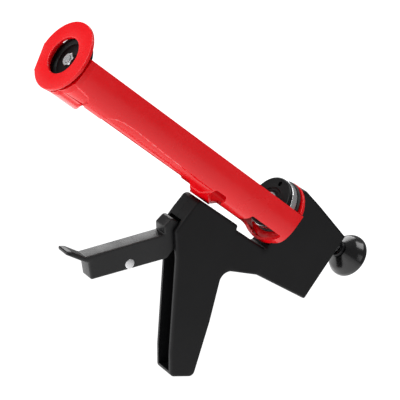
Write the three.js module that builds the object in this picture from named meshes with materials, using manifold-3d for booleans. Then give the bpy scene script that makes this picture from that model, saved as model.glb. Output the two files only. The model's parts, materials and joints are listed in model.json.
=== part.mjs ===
// Caulking gun: a hand tool that pushes the contents of a 50 mm cartridge out of its nozzle.
// Millimetres. +X points to the nozzle, +Y to the gun's left side, +Z up.
// All shapes are drawn with the rod's axis at z = 0 and the barrel's rear face at x = 0.
// The finished group is moved so that its origin is in the middle of the hand grip.

import * as THREE from "three";
import { mergeVertices } from "three/addons/utils/BufferGeometryUtils.js";
import Module from "manifold-3d";

const wasm = await Module();
wasm.setup();

// ---- Driving dimensions ----

const GAP = 0.3; // between pieces that touch
const PLAY = 0.8; // beside pieces that move past each other

const CARTRIDGE_RADIUS = 25.5;
const BARREL_WALL = 2.5;
const BARREL_INSIDE = CARTRIDGE_RADIUS + 1;
const BARREL_RADIUS = BARREL_INSIDE + BARREL_WALL;
const BARREL_LENGTH = 280; // from the rear face to the face round the nozzle hole
const BARREL_EDGE_Z = 9; // height of the open trough's edges above the axis
const STRIP_EDGE_Y = 0.61 * BARREL_RADIUS; // half width of the windows in the trough's bottom
const STRIP_HIGH_Y = 0.91 * BARREL_RADIUS; // the same, where the left side strip is narrow
const CAP_THICKNESS = 3;
const CAP_LIP = 1; // how far the cap stands out past the trough
const CAP_FLAT = { share: 0.935, turn: -67 }; // flat on the rim: its distance as a share of the radius, degrees
const CAP_SPIGOT_WALL = 1.4; // the cap's spigot stands inside the trough
const CAP_SPIGOT_LENGTH = 6;
const CAP_TO_TROUGH = 2; // open line between the cap and the trough's front end
const NOZZLE_HOLE_RADIUS = 15.8;
const BARREL_DROP = 4.4; // the rear plate's centre is this far below the rod's axis
const BARREL_TILT = 0.98; // degrees; the barrel's axis meets the rod's at the cap
const REAR_PLATE = 3; // thickness
const REAR_FLOOR = 6.5; // length of whole bottom in front of the trough's rear end
const FRONT_BRIDGE = { side: BARREL_LENGTH - 29, bottom: BARREL_LENGTH - 36 }; // its rear edge
const MIDDLE_BRIDGE = { x: 83.5, half: 12.5 }; // crosses the trough's bottom at a slant
const BRIDGE_LEAN = [[9, 8.5], [STRIP_EDGE_Y, 22]]; // [y, how far the bridge is forward there]
const NOTCH = { start: 3.5, length: 19 }; // in the left side strip, beside the slanting bridge
const NARROW_STRIP_END = 46; // the left side strip is narrow from the rear up to here

const ROD_FLATS = 8; // hexagonal rod, across flats
const ROD_CORNER = ROD_FLATS / Math.sqrt(3);
const PISTON_RADIUS = BARREL_INSIDE - 5.5;
const PISTON_THICKNESS = 6;
const PISTON_DISH = 2; // depth of the hollow in the piston's front face
const PISTON_TO_CAP = 4.2; // piston's front face to the back of the cap, rod fully forward
const BACKING_RADIUS = 15;
const BACKING_THICKNESS = 2;
const NUT_RADIUS = 5.8;
const NUT_LENGTH = 3;
const THREAD_END = 0.5; // how far the rod's thread stands out of the piston's nut
const KNOB_RADIUS = 19.5;
const KNOB_LENGTH = 19;
const NECK_LENGTH = 4;
const ROD_BEHIND_BODY = 9; // bare rod between the body's rear face and the knob's neck ring

const SPINDLE_RADIUS = ROD_CORNER + 2.9;
const SPINDLE_FLANGE_RADIUS = SPINDLE_RADIUS + 2.5;
const SPINDLE_FLANGE_THICKNESS = 3;
const SEAL_RING = { radius: BARREL_INSIDE - 2.4, thickness: 2.4 };
const THRUST_WASHER = { radius: SEAL_RING.radius - 1.2, thickness: 6.8 };
const COLLAR_NUT = { radius: THRUST_WASHER.radius - 0.4, thickness: 3.4 };
const SPANNER_HOLE = { radius: 2.2, depth: 2.2, circle: COLLAR_NUT.radius - 5.4 };

const BODY_HALF_WIDTH = 12;
const SHELL_WALL = 3.8;
const CEILING_WALL = SHELL_WALL - 0.6; // over the drive link, which comes close to it on a full squeeze
const BODY_FRONT = -2; // front face of the body, behind the barrel
const BODY_REAR = -73;
const NOSE_TIP = 94;
const NOSE_TOP = -BARREL_RADIUS - 3.8;
const NOSE_STEP = { x: 39, drop: 4 };
const GRIP_BOTTOM = -173;

const TRIGGER_PIVOT = { x: 82, z: -46 };
const TRIGGER_HALF_WIDTH = BODY_HALF_WIDTH - SHELL_WALL - 1;
const TRIGGER_WALL = 2.3;
const TRIGGER_TOP = 2.8; // thickness of the finger plate
const TRIGGER_LENGTH = 84;
const TRIGGER_DEPTH = 23;
const TRIGGER_SLOPE = THREE.MathUtils.degToRad(-42);
const TRIGGER_HEEL = { x: 92, z: -67 }; // where the finger plate starts
const PIVOT_PIN_RADIUS = 2.5;
const LINK_PIN_RADIUS = 2;
const LINK_PIN = { x: 79, z: -60 };
const RIVET = { along: 43, below: 17.8, radius: 4.5 };

const LEVER_PIVOT = { x: BODY_REAR + 27, z: -26 };
const LEVER_LOWER = { x: LEVER_PIVOT.x + 1, z: LEVER_PIVOT.z - 19 };
const LEVER_TIP_RADIUS = 4;
const LINK_THICKNESS = 2;
const LINK_TO_TRIGGER = 0.6; // beside the link, inside the trigger's channel
const LEVER_THICKNESS = 2 * (TRIGGER_HALF_WIDTH - TRIGGER_WALL - LINK_TO_TRIGGER - LINK_THICKNESS - GAP);
const LINK_HALF_HEIGHT = 4.5;
const LINK_SLOT_PLAY = { along: 1.6, across: 1 }; // round the rear pin, for the swing of the lever
const DRIVE_PLATE = { count: 2, thickness: 2.4, halfWidth: TRIGGER_HALF_WIDTH, top: 8.3, bottom: -19 };
const SPRING_WIRE_RADIUS = 0.8;
const SPRING_PLACE = 0.6145; // coil's middle, as a share of the way from the rod's corners to the cavity's wall
const SPRING_TURNS = 4;
const SPRING_TO_SEAT = 0.5; // round the coil, where its front end stands in the handle
const REAR_BUSH = { radius: ROD_CORNER + 2.4, length: 9 };
const FRICTION_RING = { radius: ROD_CORNER + 1, length: 2.6 };

const SCREW = { shank: 1.6, head: 3, headDepth: 2, length: 17 };
const BOSS_RADIUS = 4.4;
const SCREW_PLACES = [
  [62, -39], // nose
  [-8, -26], // under the spindle
  [-65.5, -15], // under the rod's rear guide
  [-19, 14.2], // top
  [26.5, -73], // top of the grip
  [1.5, -143], // foot of the grip
];

// ---- Derived places ----

const CAP_BACK = BARREL_LENGTH - CAP_THICKNESS;
const TROUGH_FRONT = CAP_BACK - CAP_TO_TROUGH;
const SEAL_BACK = REAR_PLATE + PLAY;
const WASHER_BACK = SEAL_BACK + SEAL_RING.thickness + GAP;
const NUT_BACK = WASHER_BACK + THRUST_WASHER.thickness + GAP;
const NUT_FRONT = NUT_BACK + COLLAR_NUT.thickness;
const PISTON_FRONT = CAP_BACK - PISTON_TO_CAP;
const PISTON_BACK = PISTON_FRONT - PISTON_THICKNESS;
const PISTON_NUT_BACK = PISTON_FRONT - PISTON_DISH + GAP;
const ROD_FRONT = PISTON_NUT_BACK + NUT_LENGTH + THREAD_END;
const NECK_FRONT = BODY_REAR - ROD_BEHIND_BODY;
const KNOB_FRONT = NECK_FRONT - NECK_LENGTH;
const KNOB_REAR = KNOB_FRONT - KNOB_LENGTH;
const CAVITY_HALF_WIDTH = BODY_HALF_WIDTH - SHELL_WALL;
const SPRING_COIL_RADIUS = ROD_CORNER + SPRING_PLACE * (CAVITY_HALF_WIDTH - ROD_CORNER);
const NOSE_REAR_TOP = NOSE_TOP - NOSE_STEP.drop;
const FLANGE_FRONT = BODY_FRONT - SHELL_WALL - 1;
const FLANGE_BACK = FLANGE_FRONT - SPINDLE_FLANGE_THICKNESS;
const SPINDLE_BLOCK_BACK = FLANGE_BACK - SHELL_WALL;
const PLATE_BACK = LEVER_PIVOT.x + LEVER_TIP_RADIUS + 1 + GAP;
const PLATE_PITCH = DRIVE_PLATE.thickness + GAP;
const PLATE_FRONT = PLATE_BACK + DRIVE_PLATE.count * PLATE_PITCH - GAP;
const BUSH_FRONT = BODY_REAR + SHELL_WALL + REAR_BUSH.length;
const BUSH_BLOCK_FRONT = BUSH_FRONT + 1.6;
const BUSH_BLOCK_BOTTOM = -REAR_BUSH.radius - SHELL_WALL - 1;
const CAVITY_REAR = BODY_REAR + SHELL_WALL;
const GRIP_CENTRE = { x: 22, z: -118 };

// ---- Materials ----

function paint(colour, roughness, metalness) {
  return new THREE.MeshStandardMaterial({ color: colour, roughness, metalness });
}

const RED = paint(0xd01420, 0.3, 0);
const BLACK = paint(0x1c1c1e, 0.55, 0);
const GLOSS_BLACK = paint(0x101012, 0.15, 0);
const RUBBER = paint(0x161616, 0.8, 0);
const STEEL = paint(0xb8bcc0, 0.3, 1);
const BRIGHT = paint(0xd8dadc, 0.15, 1);

// ---- Solids ----

function solid(geometry) {
  const plain = geometry.index ? geometry.toNonIndexed() : geometry;
  plain.deleteAttribute("normal");
  plain.deleteAttribute("uv");
  const merged = mergeVertices(plain, 1e-4);
  const corners = [];
  const index = merged.index.array;
  for (let i = 0; i < index.length; i += 3) {
    const [a, b, c] = [index[i], index[i + 1], index[i + 2]];
    if (a !== b && b !== c && c !== a) {
      corners.push(a, b, c);
    }
  }
  const made = new wasm.Manifold(new wasm.Mesh({
    numProp: 3,
    vertProperties: new Float32Array(merged.attributes.position.array),
    triVerts: new Uint32Array(corners),
  }));
  return made.volume() > 0 ? made : solid(turnedInsideOut(plain));
}

function turnedInsideOut(geometry) {
  const turned = geometry.clone();
  const position = turned.attributes.position;
  for (let i = 0; i < position.count; i += 3) {
    const keep = new THREE.Vector3().fromBufferAttribute(position, i + 1);
    const last = new THREE.Vector3().fromBufferAttribute(position, i + 2);
    position.setXYZ(i + 1, last.x, last.y, last.z);
    position.setXYZ(i + 2, keep.x, keep.y, keep.z);
  }
  return turned;
}

function joined(...solids) {
  return solids.reduce((all, next) => all.add(next));
}

function cutBy(body, ...cutters) {
  return cutters.reduce((left, cutter) => left.subtract(cutter), body);
}

function geometryOf(made) {
  const mesh = made.getMesh();
  const geometry = new THREE.BufferGeometry();
  geometry.setAttribute("position", new THREE.BufferAttribute(new Float32Array(mesh.vertProperties), 3));
  geometry.setIndex(new THREE.BufferAttribute(new Uint32Array(mesh.triVerts), 1));
  geometry.computeVertexNormals();
  return geometry;
}

// A closed outline from corners [u, v, radius]; a corner with a radius is rounded.
function outline(corners) {
  const shape = new THREE.Shape();
  corners.forEach(([u, v, radius = 0], i) => {
    const here = new THREE.Vector2(u, v);
    const before = new THREE.Vector2(...corners[(i + corners.length - 1) % corners.length]);
    const after = new THREE.Vector2(...corners[(i + 1) % corners.length]);
    const back = before.sub(here).normalize();
    const on = after.sub(here).normalize();
    const half = Math.acos(THREE.MathUtils.clamp(back.dot(on), -1, 1)) / 2;
    const reach = radius / Math.tan(half);
    const enter = here.clone().addScaledVector(back, reach);
    const leave = here.clone().addScaledVector(on, reach);
    if (i === 0) {
      shape.moveTo(enter.x, enter.y);
    } else {
      shape.lineTo(enter.x, enter.y);
    }
    if (radius > 0) {
      shape.quadraticCurveTo(here.x, here.y, leave.x, leave.y);
    }
  });
  shape.closePath();
  return shape;
}

function extruded(shape, depth, curveSegments = 6) {
  return new THREE.ExtrudeGeometry(shape, { depth, bevelEnabled: false, curveSegments });
}

// Outline in X and Z, from y = low to y = high.
function sideCut(corners, low, high, curveSegments) {
  const geometry = extruded(outline(corners), high - low, curveSegments);
  return solid(geometry.rotateX(Math.PI / 2).translate(0, high, 0));
}

// Outline in Y and Z, from x = low to x = high.
function crossCut(shape, low, high, curveSegments = 18) {
  const basis = new THREE.Matrix4().makeBasis(
    new THREE.Vector3(0, 1, 0), new THREE.Vector3(0, 0, 1), new THREE.Vector3(1, 0, 0));
  return solid(extruded(shape, high - low, curveSegments).applyMatrix4(basis).translate(low, 0, 0));
}

// Outline in X and Y, from z = low to z = high.
function planCut(shape, low, high) {
  return solid(extruded(shape, high - low, 5).translate(0, 0, low));
}

// A round piece about the X axis from closed corners [x, radius].
function turned(corners, segments = 36) {
  const points = [...corners, corners[0]].map(([x, radius]) => new THREE.Vector2(radius, x));
  return solid(new THREE.LatheGeometry(points, segments).rotateZ(-Math.PI / 2));
}

function ring(back, front, inner, outer, segments) {
  return turned([[back, inner], [back, outer], [front, outer], [front, inner]], segments);
}

function disc(back, front, radius, segments = 48) {
  const geometry = new THREE.CylinderGeometry(radius, radius, front - back, segments);
  return solid(geometry.rotateZ(-Math.PI / 2).translate((back + front) / 2, 0, 0));
}

function hexBar(back, front, flats) {
  const corner = flats / Math.sqrt(3);
  const geometry = new THREE.CylinderGeometry(corner, corner, front - back, 6);
  return solid(geometry.rotateZ(-Math.PI / 2).translate((back + front) / 2, 0, 0));
}

function crossPin(place, radius, low, high, segments = 16) {
  const geometry = new THREE.CylinderGeometry(radius, radius, high - low, segments);
  return solid(geometry.translate(place.x, (low + high) / 2, place.z));
}

function block(low, high) {
  const size = low.map((value, i) => high[i] - value);
  const middle = low.map((value, i) => (high[i] + value) / 2);
  return solid(new THREE.BoxGeometry(...size).translate(...middle));
}

const gun = new THREE.Group();

function addPiece(name, made, material) {
  const mesh = new THREE.Mesh(geometryOf(made), material);
  mesh.name = name;
  gun.add(mesh);
}

// ---- Handle shells ----

const BODY_OUTLINE = [
  [BODY_FRONT, 25, 1.5],
  [BODY_FRONT, NOSE_REAR_TOP, 3],
  [NOSE_STEP.x, NOSE_REAR_TOP, 1],
  [NOSE_STEP.x + 1, NOSE_TOP, 1],
  [NOSE_TIP - 2, NOSE_TOP, 5],
  [NOSE_TIP - 0.5, -50, 8],
  [NOSE_TIP, -67, 4],
  [76, -85, 8],
  [22, -156, 10],
  [7, GRIP_BOTTOM, 5],
  [-15, -163, 5],
  [5, -115, 20],
  [26, -72, 9],
  [-10, -59.3, 6],
  [BODY_REAR - 1, -54, 2],
  [BODY_REAR, 12, 2],
  [-27, 21, 20],
];

const CAVITY_OUTLINE = [
  [SPINDLE_BLOCK_BACK, 17, 1],
  [SPINDLE_BLOCK_BACK, NOSE_REAR_TOP + 4, 2],
  [0, NOSE_REAR_TOP - CEILING_WALL, 3],
  [NOSE_STEP.x + 4, NOSE_REAR_TOP - CEILING_WALL, 1],
  [NOSE_STEP.x + 5, NOSE_TOP - SHELL_WALL, 1],
  [NOSE_TIP - 5, NOSE_TOP - SHELL_WALL, 3],
  [NOSE_TIP - 4, -55, 1],
  [NOSE_TIP + 14, -56, 0],
  [NOSE_TIP + 14, -110, 0],
  [31, -182, 0],
  [-9, -158.5, 3],
  [10, -113, 18],
  [30, -65, 10],
  [10, -58, 8],
  [-38, -52.5, 10],
  [CAVITY_REAR, -50, 2],
  [CAVITY_REAR, BUSH_BLOCK_BOTTOM, 0],
  [BUSH_BLOCK_FRONT, BUSH_BLOCK_BOTTOM, 0],
  [BUSH_BLOCK_FRONT, 9, 2],
  [-40, 14, 8],
];

function bodyBlock() {
  return sideCut(BODY_OUTLINE, -BODY_HALF_WIDTH, BODY_HALF_WIDTH, 5);
}

function spindleSeat() {
  const springSeat = SPRING_COIL_RADIUS + SPRING_WIRE_RADIUS + SPRING_TO_SEAT;
  return joined(
    disc(SPINDLE_BLOCK_BACK - 9, SPINDLE_BLOCK_BACK + SPRING_WIRE_RADIUS, springSeat, 36),
    disc(SPINDLE_BLOCK_BACK - 9, BODY_FRONT + 9, SPINDLE_RADIUS + GAP, 36),
    disc(FLANGE_BACK - GAP, FLANGE_FRONT + GAP, SPINDLE_FLANGE_RADIUS + GAP, 36));
}

function bushSeat() {
  return joined(
    disc(BODY_REAR + SHELL_WALL - GAP, BUSH_BLOCK_FRONT + 3, REAR_BUSH.radius + GAP, 30),
    disc(BODY_REAR - 5, BODY_REAR + SHELL_WALL + 5, ROD_CORNER + PLAY, 30));
}

function boss([x, z]) {
  return crossPin({ x, z }, BOSS_RADIUS, -CAVITY_HALF_WIDTH - 1, CAVITY_HALF_WIDTH + 1);
}

function pinSeat(place, radius) {
  return crossPin(place, radius + GAP, -BODY_HALF_WIDTH + 2, BODY_HALF_WIDTH - 2);
}

function screwHole([x, z]) {
  const shank = crossPin({ x, z }, SCREW.shank + GAP, -BODY_HALF_WIDTH - 1, SCREW.length - BODY_HALF_WIDTH + 1, 10);
  const headTop = -BODY_HALF_WIDTH + SCREW.headDepth + 1;
  const head = crossPin({ x, z }, SCREW.head + GAP, -BODY_HALF_WIDTH - 1, headTop, 16);
  return shank.add(head);
}

function wholeHandle() {
  const cavity = sideCut(CAVITY_OUTLINE, -CAVITY_HALF_WIDTH, CAVITY_HALF_WIDTH, 5);
  const bosses = SCREW_PLACES.map(boss);
  const trimmed = joined(...bosses).intersect(bodyBlock());
  const holes = SCREW_PLACES.map(screwHole);
  return cutBy(
    bodyBlock().subtract(cavity).add(trimmed),
    ...holes,
    spindleSeat(),
    bushSeat(),
    pinSeat(TRIGGER_PIVOT, PIVOT_PIN_RADIUS),
    pinSeat(LEVER_PIVOT, PIVOT_PIN_RADIUS));
}

function handleShells() {
  const handle = wholeHandle();
  const far = 400;
  const leftSide = block([-far, GAP / 2, -far], [far, far, far]);
  const rightSide = block([-far, -far, -far], [far, -GAP / 2, far]);
  addPiece("handle_shell_left", handle.intersect(leftSide), BLACK);
  addPiece("handle_shell_right", handle.intersect(rightSide), BLACK);
}

function shellScrew(index, [x, z]) {
  const headBottom = -BODY_HALF_WIDTH + SCREW.headDepth + 1 - GAP;
  const head = crossPin({ x, z }, SCREW.head, headBottom - SCREW.headDepth, headBottom, 16);
  const shank = crossPin({ x, z }, SCREW.shank, headBottom - 0.5, SCREW.length - BODY_HALF_WIDTH, 10);
  const slotLow = headBottom - SCREW.headDepth;
  const slot = joined(
    block([x - 1.9, slotLow - 1, z - 0.35], [x + 1.9, slotLow + 1.1, z + 0.35]),
    block([x - 0.35, slotLow - 1, z - 1.9], [x + 0.35, slotLow + 1.1, z + 1.9]));
  addPiece(`shell_screw_${index + 1}`, head.add(shank).subtract(slot), STEEL);
}

function handlePins() {
  const end = BODY_HALF_WIDTH - 2 - GAP;
  addPiece("trigger_pivot_pin", crossPin(TRIGGER_PIVOT, PIVOT_PIN_RADIUS, -end, end), STEEL);
  addPiece("lever_pivot_pin", crossPin(LEVER_PIVOT, PIVOT_PIN_RADIUS, -end, end), STEEL);
}

// ---- Spindle that carries the barrel, fixed in the handle ----

function barrelSpindle() {
  const bore = hexBar(SPINDLE_BLOCK_BACK - 5, NUT_FRONT + 5, ROD_FLATS + 2 * GAP);
  const tube = disc(FLANGE_BACK, NUT_FRONT + 1, SPINDLE_RADIUS, 36);
  const flange = disc(FLANGE_BACK, FLANGE_FRONT, SPINDLE_FLANGE_RADIUS, 36);
  addPiece("barrel_spindle", tube.add(flange).subtract(bore), BLACK);
}

function collarNut() {
  const r = COLLAR_NUT.radius;
  const hub = SPINDLE_RADIUS + GAP;
  const nut = turned([[NUT_BACK, hub], [NUT_BACK, r], [NUT_FRONT - 1.4, r], [NUT_FRONT - 0.4, r - 0.6],
    [NUT_FRONT, r - 1.6], [NUT_FRONT, hub]], 36);
  const holes = [0, 1, 2, 3].map((quarter) => {
    const angle = (quarter * Math.PI) / 2;
    const y = SPANNER_HOLE.circle * Math.cos(angle);
    const z = SPANNER_HOLE.circle * Math.sin(angle);
    return disc(NUT_FRONT - SPANNER_HOLE.depth, NUT_FRONT + 1, SPANNER_HOLE.radius, 10).translate([0, y, z]);
  });
  addPiece("collar_nut", cutBy(nut, ...holes), BLACK);
}

function spindleRings() {
  const hub = SPINDLE_RADIUS + GAP;
  const seal = ring(SEAL_BACK, SEAL_BACK + SEAL_RING.thickness, hub, SEAL_RING.radius, 36);
  const washer = ring(WASHER_BACK, WASHER_BACK + THRUST_WASHER.thickness, hub, THRUST_WASHER.radius, 36);
  addPiece("barrel_friction_ring", seal, RUBBER);
  addPiece("thrust_washer", washer, BRIGHT);
}

// ---- Rear guide of the rod ----

function rearGuide() {
  const back = BODY_REAR + SHELL_WALL;
  const ringBack = back + 3;
  const bore = hexBar(back - 2, BUSH_FRONT + 2, ROD_FLATS + 2 * GAP);
  const groove = disc(ringBack - GAP, BUSH_FRONT + 1, FRICTION_RING.radius + GAP, 30);
  const bush = disc(back, BUSH_FRONT, REAR_BUSH.radius, 30);
  addPiece("rod_rear_bush", cutBy(bush, bore, groove), BLACK);
  const ringBore = hexBar(back - 2, BUSH_FRONT + 2, ROD_FLATS + 2 * GAP);
  const ringOuter = disc(ringBack, ringBack + FRICTION_RING.length, FRICTION_RING.radius, 30);
  addPiece("rod_friction_ring", ringOuter.subtract(ringBore), RUBBER);
}

// ---- Barrel ----

function troughSection(radius, top) {
  const shape = new THREE.Shape();
  shape.moveTo(radius, top);
  shape.lineTo(radius, 0);
  shape.absarc(0, 0, radius, 0, -Math.PI, true);
  shape.lineTo(-radius, top);
  shape.closePath();
  return shape;
}

// One edge of the slanting bridge from the left side of the trough to the right, x = middle at y = 0.
function bridgeEdge(middle) {
  const left = [...BRIDGE_LEAN].reverse().map(([y, lean]) => [middle + lean, y, 3]);
  const right = BRIDGE_LEAN.map(([y, lean]) => [middle - lean, -y, 3]);
  return [...left, ...right];
}

function frontWindow() {
  const { side, bottom } = FRONT_BRIDGE;
  const edge = bridgeEdge(MIDDLE_BRIDGE.x + MIDDLE_BRIDGE.half);
  return planCut(outline([
    ...edge,
    [side, -STRIP_EDGE_Y, 2],
    [bottom, -5, 4],
    [bottom, 5, 4],
    [side, STRIP_EDGE_Y, 2],
  ]), -BARREL_RADIUS - 5, -5);
}

function rearWindow() {
  const edge = bridgeEdge(MIDDLE_BRIDGE.x - MIDDLE_BRIDGE.half);
  const notchFront = edge[0][0] + NOTCH.start;
  return planCut(outline([
    ...edge,
    [REAR_FLOOR + 4, -STRIP_EDGE_Y, 5],
    [REAR_FLOOR, -5, 3],
    [REAR_FLOOR, STRIP_HIGH_Y, 1],
    [NARROW_STRIP_END, STRIP_HIGH_Y, 1],
    [NARROW_STRIP_END + 3, STRIP_EDGE_Y, 1],
    [notchFront - NOTCH.length - 2, STRIP_EDGE_Y, 1],
    [notchFront - NOTCH.length, STRIP_HIGH_Y, 3],
    [notchFront, STRIP_HIGH_Y, 2],
  ]), -BARREL_RADIUS - 5, -5);
}

function barrelTrough() {
  const outside = crossCut(troughSection(BARREL_RADIUS, BARREL_EDGE_Z), 0, TROUGH_FRONT);
  const inside = crossCut(troughSection(BARREL_INSIDE, BARREL_EDGE_Z + 1), -1, TROUGH_FRONT + 1);
  return cutBy(outside, inside, frontWindow(), rearWindow());
}

// Round plate: its upper part is as wide as the trough, its lower part stands inside the trough.
function rearPlate() {
  const far = BARREL_RADIUS + 5;
  const whole = disc(0, REAR_PLATE, BARREL_RADIUS, 48);
  const upper = whole.intersect(block([-1, -far, BARREL_EDGE_Z + GAP], [REAR_PLATE + 1, far, far]));
  return upper.add(disc(0, REAR_PLATE, BARREL_INSIDE - GAP, 48));
}

function frontCap() {
  const rim = BARREL_RADIUS + CAP_LIP;
  const collar = BARREL_INSIDE - GAP;
  const collarBack = TROUGH_FRONT - CAP_SPIGOT_LENGTH;
  const flange = turned([[CAP_BACK, NOZZLE_HOLE_RADIUS], [CAP_BACK, rim - 0.6], [CAP_BACK + 0.6, rim],
    [BARREL_LENGTH - 0.8, rim], [BARREL_LENGTH, rim - 0.8], [BARREL_LENGTH, NOZZLE_HOLE_RADIUS]], 48);
  const below = block([collarBack - 1, -rim, -rim], [CAP_BACK + 1, rim, BARREL_EDGE_Z]);
  const spigot = ring(collarBack, CAP_BACK + 1, collar - CAP_SPIGOT_WALL, collar, 48).intersect(below);
  const cap = flange.add(spigot);
  const chord = block([CAP_BACK - 1, -rim - 2, -rim - 2], [BARREL_LENGTH + 1, rim + 2, -CAP_FLAT.share * rim]);
  return cap.subtract(chord.rotate([CAP_FLAT.turn, 0, 0]));
}

function seated(made) {
  return made.rotate([0, -BARREL_TILT, 0]).translate([0, 0, -BARREL_DROP]);
}

function barrel() {
  const bore = disc(-5, REAR_PLATE + 5, SPINDLE_RADIUS + GAP, 36);
  addPiece("barrel_trough", seated(barrelTrough()), RED);
  addPiece("barrel_rear_plate", seated(rearPlate()).subtract(bore), RED);
  addPiece("barrel_front_cap", seated(frontCap()), RED);
}

// ---- Plunger ----

function plunger() {
  const rodRear = KNOB_FRONT - 8;
  addPiece("plunger_rod", hexBar(rodRear, PISTON_BACK - 3, ROD_FLATS)
    .add(disc(PISTON_BACK - 3.2, ROD_FRONT, 3, 24)), STEEL);
  const hole = 3 + GAP;
  const r = PISTON_RADIUS;
  const dish = PISTON_FRONT - PISTON_DISH;
  const piston = turned([[PISTON_BACK, hole], [PISTON_BACK, r - 3], [PISTON_BACK + 2, r], [PISTON_FRONT - 1.5, r],
    [PISTON_FRONT, r - 1.5], [PISTON_FRONT, r - 4], [dish, r - 6], [dish, hole]], 36);
  addPiece("piston_disc", piston, BLACK);
  addPiece("piston_backing_washer",
    ring(PISTON_BACK - GAP - BACKING_THICKNESS, PISTON_BACK - GAP, hole, BACKING_RADIUS, 40), STEEL);
  const nutFront = PISTON_NUT_BACK + NUT_LENGTH;
  const nut = hexBar(PISTON_NUT_BACK, nutFront, NUT_RADIUS * Math.sqrt(3));
  const crown = turned([[PISTON_NUT_BACK - 1, 0], [PISTON_NUT_BACK - 1, NUT_RADIUS + 1],
    [nutFront - 1.2, NUT_RADIUS + 1], [nutFront + 0.2, NUT_RADIUS - 1], [nutFront + 0.2, 0]], 36);
  const thread = disc(PISTON_NUT_BACK - 1, nutFront + 1, hole, 24);
  addPiece("piston_nut", nut.intersect(crown).subtract(thread), BRIGHT);
}

function pullKnob() {
  const bore = hexBar(KNOB_FRONT - 8 - GAP, KNOB_FRONT + 2, ROD_FLATS + 2 * GAP);
  const r = KNOB_RADIUS;
  const knob = turned([[KNOB_FRONT, 0], [KNOB_FRONT, 8.5], [KNOB_FRONT - 4, 10], [KNOB_FRONT - 8, r - 5.5],
    [KNOB_FRONT - 11, r - 2], [KNOB_FRONT - 13.5, r - 0.4], [KNOB_FRONT - 15, r], [KNOB_FRONT - 16.5, r - 0.8],
    [KNOB_FRONT - 18, r - 4], [KNOB_REAR, 9], [KNOB_REAR, 0]], 36);
  addPiece("pull_knob", knob.subtract(bore), GLOSS_BLACK);
  const neck = ring(KNOB_FRONT + GAP, NECK_FRONT, ROD_CORNER + GAP, 7.5, 36);
  addPiece("knob_neck_ring", neck, BLACK);
}

// ---- Trigger ----

// A point of the trigger's side view, measured along its finger plate and below it.
function onTrigger(along, below) {
  const [c, s] = [Math.cos(TRIGGER_SLOPE), Math.sin(TRIGGER_SLOPE)];
  return [TRIGGER_HEEL.x + along * c + below * s, TRIGGER_HEEL.z + along * s - below * c];
}

function triggerOutline() {
  const lip = TRIGGER_LENGTH;
  const [lx, lz] = onTrigger(lip, 0);
  return [
    [...onTrigger(0, 0), 1],
    [...onTrigger(lip, 0), 4],
    [lx + 15, lz - 2, 3],
    [lx + 20, lz - 4.5, 1],
    [lx + 18, lz - 6.5, 1],
    [...onTrigger(lip + 2.5, 3.4), 3],
    [...onTrigger(lip - 2, 6), 1],
    [...onTrigger(lip - 4, TRIGGER_DEPTH - 1), 2],
    [...onTrigger(7, TRIGGER_DEPTH), 4],
    [...onTrigger(0.5, TRIGGER_DEPTH - 6), 3],
  ];
}

function triggerHub() {
  const { x, z } = TRIGGER_PIVOT;
  return [[x - 6.5, z, 1], [x - 6.5, z + 6.5, 6], [x + 6.5, z + 6.5, 6], [x + 7, -58, 3], [102, -58, 4],
    [104, -68, 2], [98, -74, 1], [84, -84, 2], [77, -68, 2]];
}

function trigger() {
  const w = TRIGGER_HALF_WIDTH;
  const inner = w - TRIGGER_WALL;
  const channel = [
    onTrigger(-30, TRIGGER_TOP), onTrigger(TRIGGER_LENGTH - 3, TRIGGER_TOP),
    onTrigger(TRIGGER_LENGTH - 6, TRIGGER_DEPTH + 20), onTrigger(-30, TRIGGER_DEPTH + 20),
  ];
  const neck = [[60, -36], [91, -36], [91, -62], [88, -70], [60, -70]];
  const whole = sideCut(triggerOutline(), -w, w).add(sideCut(triggerHub(), -w, w));
  const made = cutBy(
    whole,
    sideCut(channel, -inner, inner),
    sideCut(neck, -inner, inner),
    crossPin(TRIGGER_PIVOT, PIVOT_PIN_RADIUS + GAP, -w - 1, w + 1),
    crossPin(LINK_PIN, LINK_PIN_RADIUS + GAP, -w - 1, w + 1),
    crossPin(rivetPlace(), RIVET.radius + GAP, -w - 1, w + 1, 28));
  addPiece("trigger_lever", made, BLACK);
}

function rivetPlace() {
  const [x, z] = onTrigger(RIVET.along, RIVET.below);
  return { x, z };
}

function triggerPins() {
  const w = TRIGGER_HALF_WIDTH;
  addPiece("trigger_rivet", crossPin(rivetPlace(), RIVET.radius, -w, w, 28), BRIGHT);
  addPiece("link_front_pin", crossPin(LINK_PIN, LINK_PIN_RADIUS, -w + GAP, w - GAP), STEEL);
}

// ---- Drive: link, lever and grip plates ----

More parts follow.
